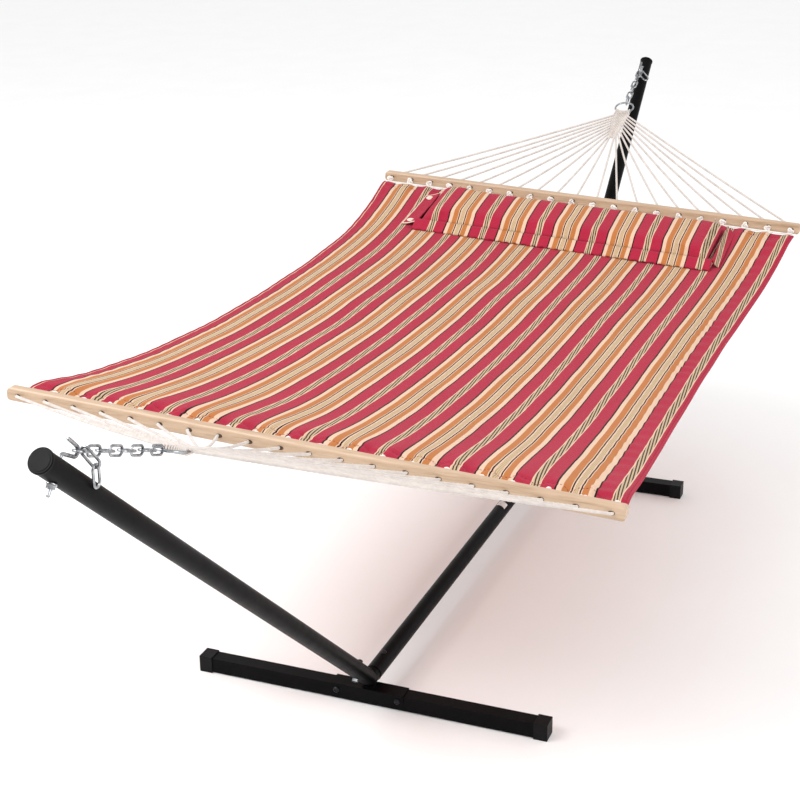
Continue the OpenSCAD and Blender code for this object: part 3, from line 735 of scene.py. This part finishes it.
def make_bed():
    """Two quilted faces over padding: thin at the bound sides and hems, puckered along the stitch lines."""
    columns, rows = 180, 240
    # More rows near the hems, where the fabric rolls down and puckers
    v = np.linspace(0, 1, rows)
    v = v - 0.10 * np.sin(4 * math.pi * v) / (4 * math.pi)
    v = v - 0.03 * np.sin(2 * math.pi * v)
    v = (v - v[0]) / (v[-1] - v[0])
    u = np.linspace(0, 1, columns)
    U, V = np.meshgrid(u, v, indexing="ij")
    X = NEAR_HEM + BED_LENGTH * V
    half = bed_half(X)
    Y = (0.5 - U) * 2 * half
    flat_y = (0.5 - U) * 2 * BED_HALF
    hem_near, hem_far = X - NEAR_HEM, FAR_HEM - X
    hem = np.minimum(hem_near, hem_far)
    side = half - np.abs(Y)
    # Scalloped hems: drawn out at each knot, slack between two knots
    slack = np.abs(np.sin(math.pi * (flat_y - hole_y(0)) / HOLE_PITCH))
    X = X + 0.0065 * slack * (bell(hem_near, 0.02) - bell(hem_far, 0.02))
    X = X - 0.003 * (1 - slack) * (bell(hem_near, 0.012) - bell(hem_far, 0.012))
    mid = bed_z(X)
    edge = np.minimum(hem, side)
    thick = 0.0035 + 0.0085 * (1 - bell(np.maximum(edge, 0), 0.018))
    # Stitch lines: one along each hem and one along each side
    hem_line, side_line = hem - HEM_STITCH, side - np.where(Y < 0, 0.066, 0.022)
    for line, inside in ((hem_line, side > 0.01), (side_line, hem > 0.01)):
        thick = thick - 0.0062 * bell(line, 0.0060) * inside
    pucker_y = np.sin(2 * math.pi * flat_y / 0.031 + 3.0 * ripple(flat_y * 9, X * 3, 1.0))
    pucker_x = np.sin(2 * math.pi * (X + 0.35 * side) / 0.061 + 5.0 * ripple(X * 6, Y * 3, 2.0))
    right = np.where(Y < 0, 1.0, 0.35)
    uneven = 0.5 + 1.2 * np.abs(ripple(X * 4, Y * 4, 6.0))
    mid = mid + 0.0028 * uneven * pucker_y * bell(hem_line, 0.026)
    mid = mid + 0.0024 * uneven * right * pucker_x * bell(side_line, 0.034)
    # Broad slackness, gathers that run in from the hems, and a rolled-down hem
    inner = np.clip(hem / 0.25, 0, 1) * np.clip(side / 0.2, 0.15, 1)
    mid = mid + 0.0060 * ripple(X * 1.6, Y * 3.5, 5.0) * inner
    mid = mid + 0.0022 * ripple(X * 5, Y * 9, 9.0)
    gather = np.cos(2 * math.pi * (flat_y - hole_y(0)) / HOLE_PITCH)
    mid = mid + 0.0050 * gather * bell(hem, 0.09) * (1 - bell(hem, 0.012))
    mid = mid + 0.0075 * (1 - bell(hem, 0.045)) * bell(hem, 0.22) - 0.002 * bell(hem, 0.010)
    # The camera-side edge droops and flutes a little
    mid = mid - 0.006 * bell(side, 0.05) * (1 - bell(hem, 0.15)) * (1 + 0.12 * np.sin(2 * math.pi * X / 0.31))
    grids = []
    for face in (1, -1):
        grids.append(np.stack([X, Y, mid + face * thick / 2], axis=2).reshape(-1, 3))
    place = np.stack([(BED_HALF - flat_y) - FIRST_STRIPE, BED_LENGTH * V * 1.01, np.zeros_like(U)], axis=2)
    cloth = np.concatenate([place.reshape(-1, 3)] * 2)

    def index(i, j, face):
        return face * columns * rows + i * rows + j

    faces = []
    for i in range(columns - 1):
        for j in range(rows - 1):
            faces.append((index(i + 1, j, 0), index(i + 1, j + 1, 0), index(i, j + 1, 0), index(i, j, 0)))
            faces.append((index(i, j, 1), index(i, j + 1, 1), index(i + 1, j + 1, 1), index(i + 1, j, 1)))
    rim = ([(i, 0) for i in range(columns)] + [(columns - 1, j) for j in range(1, rows)]
           + [(i, rows - 1) for i in range(columns - 2, -1, -1)] + [(0, j) for j in range(rows - 2, 0, -1)])
    for (i, j), (p, q) in zip(rim, rim[1:] + rim[:1]):
        faces.append((index(i, j, 0), index(i, j, 1), index(p, q, 1), index(p, q, 0)))
    verts = tilt_all(np.concatenate(grids))
    bed = make_piece("quilted_bed", (verts, faces), FABRIC, "hammock", ["bed"], cloth=cloth)
    top = {"X": X, "Y": Y, "Z": mid + thick / 2, "mid": mid}
    return bed, top


BED, TOP = make_bed()


def make_binding():
    """Narrow red binding rolled over each long side of the bed."""
    parts = []
    for column in (0, -1):
        x, y, z = TOP["X"][column], TOP["Y"][column], TOP["mid"][column]
        path = tilt_all(np.stack([x, y, z], axis=1))
        path = resampled(path, 0.006)
        parts.append(sweep(path, 0.0038, 10))
    part = merged(parts)
    cloth = np.stack([part[0][:, 1], part[0][:, 0], 0 * part[0][:, 0]], axis=1)
    return make_piece("side_binding", part, RED_FABRIC, "hammock", cloth=cloth)


def make_stitches():
    """Dashes of thread sunk in the bed's stitch lines."""
    parts = []

    def dashes(x, y, z):
        path = resampled(tilt_all(np.stack([x, y, z + 0.0002], axis=1)), 0.0045)
        for a, b in zip(path[0:-1:2], path[1::2]):
            middle_point = (a + b) / 2 + np.array((0, 0, 0.0004))
            parts.append(sweep(np.array([a, middle_point, b]), 0.00055, 5))

    hem_x = TOP["X"]
    for target in (NEAR_HEM + HEM_STITCH, FAR_HEM - HEM_STITCH):
        j = np.argmin(np.abs(hem_x - target), axis=1)
        rows = np.arange(hem_x.shape[0])
        keep = slice(6, -6)
        dashes(TOP["X"][rows, j][keep], TOP["Y"][rows, j][keep], TOP["Z"][rows, j][keep])
    return make_piece("bed_stitches", merged(parts), THREAD, "hammock")


BINDING = make_binding()
STITCHES = make_stitches()

# ---- Pillow ----

PILLOW_LENGTH, PILLOW_SHIFT, PILLOW_WIDTH, PILLOW_T = 0.960, 0.015, 0.290, 0.062
PILLOW_X = FAR_HEM - 0.016 - PILLOW_WIDTH / 2
PILLOW_SLOPE = math.atan2(float(bed_z(FAR_HEM) - bed_z(FAR_HEM - PILLOW_WIDTH)), PILLOW_WIDTH)
PILLOW_Z = float(bed_z(PILLOW_X)) + BED_T / 2 + PILLOW_T / 2 + 0.0022
PILLOW_LEFT = PILLOW_LENGTH / 2 - PILLOW_SHIFT
PILLOW_RIGHT = -PILLOW_LENGTH / 2 - PILLOW_SHIFT
PILLOW_STRIPE_Y, PILLOW_PERIOD = 0.359, 0.1725


def pillow_place(p, y, q):
    """A point of the pillow: p across it towards the far hem, y along it, q off its middle surface."""
    c, s = math.cos(PILLOW_SLOPE), math.sin(PILLOW_SLOPE)
    return np.stack([PILLOW_X + p * c - q * s, y + 0 * p, PILLOW_Z + p * s + q * c], axis=-1)


def pillow_start():
    """A bolster a little smaller than the finished one, rounded in at both ends."""
    rings, sides = 64, 44
    a = np.linspace(0, 2 * math.pi, sides, endpoint=False)
    verts, faces = [], []
    for i in range(rings):
        t = i / (rings - 1)
        y = PILLOW_RIGHT + 0.006 + (PILLOW_LENGTH - 0.012) * t
        end = min(t, 1 - t) * PILLOW_LENGTH
        swell = 0.30 + 0.70 * min(1.0, (end / 0.055)) ** 0.5
        c, s = np.cos(a), np.sin(a)
        p = (PILLOW_WIDTH / 2 - 0.021) * np.sign(c) * np.abs(c) ** 0.80 - 0.011
        q = (PILLOW_T / 2 - 0.008) * swell * np.sign(s) * np.abs(s) ** 0.90 - 0.005
        verts.append(pillow_place(p, np.full(sides, y), q))
    verts = tilt_all(np.concatenate(verts))
    for i in range(rings - 1):
        for k in range(sides):
            faces.append((i * sides + k, (i + 1) * sides + k, (i + 1) * sides + (k + 1) % sides,
                          i * sides + (k + 1) % sides))
    faces.append(tuple(range(sides)))
    faces.append(tuple(range((rings - 1) * sides + sides - 1, (rings - 1) * sides - 1, -1)))
    return verts, faces


def apply_modifiers(piece):
    evaluated = piece.evaluated_get(bpy.context.evaluated_depsgraph_get())
    mesh = bpy.data.meshes.new_from_object(evaluated)
    piece.modifiers.clear()
    old = piece.data
    piece.data = mesh
    bpy.data.meshes.remove(old)


def mesh_points(mesh):
    co = np.empty(len(mesh.vertices) * 3)
    mesh.vertices.foreach_get("co", co)
    return co.reshape(-1, 3)


def blown_up(verts, faces, cap, frames=20):
    """The shape after a voxel remesh and a short cloth simulation under pressure, moved by at most cap."""
    scene = bpy.context.scene
    mesh = bpy.data.meshes.new("pillow_simulation")
    mesh.from_pydata([tuple(v) for v in verts], [], faces)
    piece = bpy.data.objects.new("pillow_simulation", mesh)
    scene.collection.objects.link(piece)
    remesh = piece.modifiers.new("remesh", "REMESH")
    remesh.mode = "VOXEL"
    remesh.voxel_size = 0.0065
    apply_modifiers(piece)
    before = mesh_points(piece.data)
    cloth = piece.modifiers.new("cloth", "CLOTH")
    settings = cloth.settings
    settings.quality = 5
    settings.mass = 0.25
    settings.tension_stiffness = 12
    settings.compression_stiffness = 12
    settings.bending_stiffness = 0.15
    settings.use_pressure = True
    settings.uniform_pressure_force = 4
    settings.effector_weights.gravity = 0
    cloth.point_cache.frame_start = 1
    cloth.point_cache.frame_end = frames
    for f in range(1, frames + 1):
        scene.frame_set(f)
    apply_modifiers(piece)
    scene.frame_set(1)
    after = mesh_points(piece.data)
    move = after - before
    size = np.linalg.norm(move, axis=1)[:, None]
    after = before + move * np.minimum(1, cap / np.maximum(size, 1e-9))
    polygons = [tuple(p.vertices) for p in piece.data.polygons]
    bpy.data.objects.remove(piece)
    return after, polygons


def untilted(points):
    out = np.array(points, float)
    y, up = out[:, 1].copy(), out[:, 2] - BAR_Z
    out[:, 1] = y * math.cos(TILT) + up * math.sin(TILT)
    out[:, 2] = BAR_Z - y * math.sin(TILT) + up * math.cos(TILT)
    return out


def pillow_coords(points):
    """The inverse of pillow_place, for points in the row's frame: (p, y, q)."""
    level = untilted(points)
    c, s = math.cos(PILLOW_SLOPE), math.sin(PILLOW_SLOPE)
    dx, dz = level[:, 0] - PILLOW_X, level[:, 2] - PILLOW_Z
    return dx * c + dz * s, level[:, 1], -dx * s + dz * c


def pillow_cloth(p, y, q):
    """Pattern place: the stripes run across the pillow."""
    across = np.maximum(PILLOW_STRIPE_Y - y, -0.46 * PILLOW_PERIOD) * STRIPE_PERIOD / PILLOW_PERIOD
    return np.stack([across, p + 0.35 * np.abs(q), 0 * p], axis=-1)


def make_pillow():
    verts, faces = blown_up(*pillow_start(), cap=0.012)
    p, y, q = pillow_coords(verts)
    q = np.clip(q, -PILLOW_T / 2 + 0.0005, None)
    # Soft lumps of filling, puckers beside the end seams and the near seam
    lumps = np.array([noise.noise(Vector((a * 9, b * 6, 3.0))) for a, b in zip(p, y)])
    end = np.minimum(y - PILLOW_RIGHT, PILLOW_LEFT - y)
    near = p + PILLOW_WIDTH / 2
    upper = np.clip(q / 0.02, 0, 1)
    q = q + 0.0035 * lumps * upper
    q = q + 0.0016 * np.sin(2 * math.pi * y / 0.024 + 4 * lumps) * np.exp(-(near / 0.05) ** 2) * upper
    q = q + 0.0020 * np.sin(2 * math.pi * p / 0.021) * np.exp(-(end / 0.035) ** 2) * upper
    verts = tilt_all(pillow_place(p, y, q))
    pillow = make_piece("stuffed_pillow", (verts, faces), FABRIC, "pillow", ["pillow"],
                        cloth=pillow_cloth(p, y, q))
    subdivide = pillow.modifiers.new("subdivision", "SUBSURF")
    subdivide.levels = subdivide.render_levels = 1
    apply_modifiers(pillow)
    pillow.data.polygons.foreach_set("use_smooth", [True] * len(pillow.data.polygons))
    return pillow


def strip(rows, thickness):
    """A closed thin sheet from rows of points: rows run along it, and each row holds the points across it."""
    grid = np.array(rows, float)
    n, m = grid.shape[:2]
    du = np.gradient(grid, axis=0)
    dv = np.gradient(grid, axis=1)
    normal = np.cross(du, dv)
    normal /= np.maximum(np.linalg.norm(normal, axis=2), 1e-9)[:, :, None]
    top = (grid + normal * thickness / 2).reshape(-1, 3)
    low = (grid - normal * thickness / 2).reshape(-1, 3)
    faces = []
    for i in range(n - 1):
        for j in range(m - 1):
            a, b, c, d = i * m + j, (i + 1) * m + j, (i + 1) * m + j + 1, i * m + j + 1
            faces += [(a, b, c, d), (a + n * m, d + n * m, c + n * m, b + n * m)]
    rim = ([(i, 0) for i in range(n)] + [(n - 1, j) for j in range(1, m)]
           + [(i, m - 1) for i in range(n - 2, -1, -1)] + [(0, j) for j in range(m - 2, 0, -1)])
    for (i, j), (p, q) in zip(rim, rim[1:] + rim[:1]):
        a, b = i * m + j, p * m + q
        faces.append((b, a, a + n * m, b + n * m))
    return np.concatenate([top, low]), faces


def make_flange():
    """The stitched border below the pillow's near seam, which rests on the bed."""
    ys = np.linspace(PILLOW_RIGHT + 0.002, PILLOW_LEFT - 0.002, 260)
    rows = []
    for y in ys:
        wave = 0.0015 * math.sin(2 * math.pi * y / 0.027 + 2 * noise.noise(Vector((y * 12, 0, 0))))
        x0 = PILLOW_X - PILLOW_WIDTH / 2 * math.cos(PILLOW_SLOPE) + 0.016
        row = []
        for t in np.linspace(0, 1, 7):
            x = x0 - 0.034 * t
            low = float(bed_z(x)) + 0.0095
            high = PILLOW_Z - PILLOW_WIDTH / 2 * math.sin(PILLOW_SLOPE) + 0.004
            row.append((x, y, high + (low - high) * t ** 0.8 + wave * t))
        rows.append(tilt_all(row))
    part = strip(rows, 0.0045)
    level = untilted(part[0])
    cloth = pillow_cloth(level[:, 0], level[:, 1], 0 * level[:, 0])
    return make_piece("pillow_border", part, FABRIC, "pillow", cloth=cloth)


def flap_grid(x_from, x_to, y_from, y_to, lift, curl):
    """A panel that lies on the bed beside the pillow, raised where it joins the pillow."""
    rows = []
    for s in np.linspace(0, 1, 44):
        row = []
        for t in np.linspace(0, 1, 12):
            x = x_from + (x_to - x_from) * s
            y = y_from + (y_to - y_from) * t
            z = float(bed_z(x)) + 0.0105 + lift * (1 - t) ** 1.5 + curl * math.sin(math.pi * s) * t
            z += 0.0012 * noise.noise(Vector((x * 30, y * 30, 7.0)))
            row.append((x, y, z))
        rows.append(tilt_all(row))
    return rows


def make_flaps():
    """The buttoned flap at the left end and the folded one at the right end."""
    low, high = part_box("pillow_flap")
    left = flap_grid(low.x, high.x, PILLOW_LEFT - 0.006, PILLOW_LEFT + 0.042, 0.014, 0.001)
    part = strip(left, 0.0040)
    level = untilted(part[0])
    cloth = np.stack([level[:, 1], level[:, 0], 0 * level[:, 0]], axis=-1)
    flap = make_piece("pillow_end_flap", part, RED_FABRIC, "pillow", ["pillow_flap"],
                      cloth=cloth)
    grid = np.array(left)
    border = np.concatenate([grid[0, :], grid[1:, -1], grid[-1, -2::-1]])
    piping = make_piece("flap_piping", sweep(smoothed(resampled(border, 0.003), 2) + np.array((0, 0, 0.0008)),
                                             0.0021, 10), PIPING, "pillow")
    right = flap_grid(0.812, 1.046, PILLOW_RIGHT + 0.004, PILLOW_RIGHT - 0.020, 0.020, 0.004)
    part = strip(right, 0.0042)
    level = untilted(part[0])
    cloth = np.stack([level[:, 0] * 0.12 + (PILLOW_RIGHT - level[:, 1]) * 1.6 + 0.010, level[:, 0],
                      0 * level[:, 0]], axis=-1)
    fold = make_piece("pillow_folded_flap", part, FABRIC, "pillow", cloth=cloth)
    return flap, piping, fold


def disc(centre, axis, radius, profile, sides=32):
    """A turned shape. profile has (share of the radius, height) pairs from its base to its top."""
    axis = unit(np.array(axis, float))
    first = unit(np.cross(axis, (1, 0, 0)))
    second = np.cross(axis, first)
    verts, faces = [], []
    for share, height in profile:
        for k in range(sides):
            a = 2 * math.pi * k / sides
            outward = math.cos(a) * first + math.sin(a) * second
            verts.append(centre + radius * share * outward + axis * height)
    for i in range(len(profile) - 1):
        for k in range(sides):
            faces.append((i * sides + k, i * sides + (k + 1) % sides, (i + 1) * sides + (k + 1) % sides,
                          (i + 1) * sides + k))
    faces.append(tuple(range(sides - 1, -1, -1)))
    faces.append(tuple((len(profile) - 1) * sides + k for k in range(sides)))
    return np.array(verts), faces


def make_buttons():
    """Two round buttons with a raised rim, sewn on with cream thread."""
    low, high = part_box("pillow_buttons")
    parts, threads = [], []
    profile = [(0.80, 0.0), (0.97, 0.0008), (1.0, 0.0020), (0.95, 0.0032), (0.80, 0.0034), (0.70, 0.0024),
               (0.30, 0.0021), (0.02, 0.0020)]
    for x in (low.x + 0.010, high.x - 0.010):
        y = PILLOW_LEFT + 0.0215
        slope = math.atan2(float(bed_z(x + 0.01) - bed_z(x - 0.01)), 0.02)
        axis = unit(np.array((-math.sin(slope), -math.sin(TILT), math.cos(slope))))
        seat = tilted(x, y, float(bed_z(x)) + 0.0160)
        parts.append(disc(seat, axis, 0.0115, profile))
        for turn in (0.6, 2.2):
            reach = 0.0026 * np.array((math.cos(turn), math.sin(turn), 0))
            top = seat + axis * 0.0028
            threads.append(sweep(np.array([top - reach, top + axis * 0.0007, top + reach]), 0.0006, 6))
    buttons = make_piece("flap_buttons", merged(parts), BUTTON, "pillow", ["pillow_buttons"])
    sewing = make_piece("button_thread", merged(threads), PIPING, "pillow")
    return buttons, sewing


def make_ties():
    """Short cords from the pillow's far edge round the hem cord."""
    parts = []
    x_cord = BAR["far"].x - HEM_CORD_GAP
    edge_p = PILLOW_WIDTH / 2 - 0.004
    for i in (3, ROPES - 5):
        start = pillow_place(np.array([edge_p]), np.array([hole_y(i) + 0.018]), np.array([0.0]))[0]
        loop = [(x_cord + 0.0048 * math.cos(a), hole_y(i) + 0.014, HEM_Z + 0.0048 * math.sin(a))
                for a in np.linspace(2.4, -3.6, 26)]
        path = np.array([start, *loop])
        parts.append(sweep(smoothed(resampled(tilt_all(path), 0.0015), 3), 0.0017, 8, 0.007))
    return make_piece("pillow_tie_cords", merged(parts), ROPE, "pillow", ["pillow_ties"])


make_pillow()
make_flange()
make_flaps()
make_buttons()
make_ties()

# ---- Blank patch on the beam ----

def make_label():
    """A small blank film patch bent round the beam's upper camera-side face."""
    low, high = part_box("beam_tube")
    radius = (high.z - low.z) / 2 + 0.0004
    centre_z = (high.z + low.z) / 2
    rows = []
    for s in np.linspace(0, 1, 12):
        row = []
        for t in np.linspace(0, 1, 16):
            a = math.radians(40 + 85 * t)
            x = 0.283 + 0.030 * s + 0.010 * t
            row.append((x, -radius * math.cos(a), centre_z + radius * math.sin(a)))
        rows.append(row)
    return make_piece("blank_label", strip(rows, 0.0004), LABEL, "stand")


make_label()

# ---- Stage ----

def make_floor():
    n = Nodes("pale_floor")
    at = n.object_coords()
    colour = n.ramp(n.noise(at, 3.0), [(0.3, (0.95, 0.95, 0.95, 1)), (0.7, (0.97, 0.97, 0.97, 1))])
    n.finish(colour, 0.9)
    mesh = bpy.data.meshes.new("floor")
    size = 30
    corners = ((-size, -size), (size, -size), (size, size), (-size, size))
    mesh.from_pydata([(x, y, -0.001) for x, y in corners], [], [(0, 1, 2, 3)])
    floor = bpy.data.objects.new("floor", mesh)
    mesh.materials.append(n.material)
    bpy.context.scene.collection.objects.link(floor)


def add_area_light(name, place, target, size, power):
    data = bpy.data.lights.new(name, "AREA")
    data.shape = "DISK"
    data.size = size
    data.energy = power
    light = bpy.data.objects.new(name, data)
    light.location = place
    light.rotation_mode = "QUATERNION"
    light.rotation_quaternion = (Vector(target) - Vector(place)).to_track_quat("-Z", "Y")
    bpy.context.scene.collection.objects.link(light)


def make_lights():
    world = bpy.data.worlds.new("studio")
    world.use_nodes = True
    world.node_tree.nodes["Background"].inputs["Color"].default_value = (1, 1, 1, 1)
    world.node_tree.nodes["Background"].inputs["Strength"].default_value = 0.95
    bpy.context.scene.world = world
    add_area_light("key_light", (-3.0, 3.0, 5.0), (0, 0, 0.6), 3.5, 260)
    add_area_light("fill_light", (-2.0, -5.0, 3.0), (0, 0, 0.6), 4.0, 120)
    bpy.context.scene.view_settings.view_transform = "Standard"


make_floor()
make_lights()
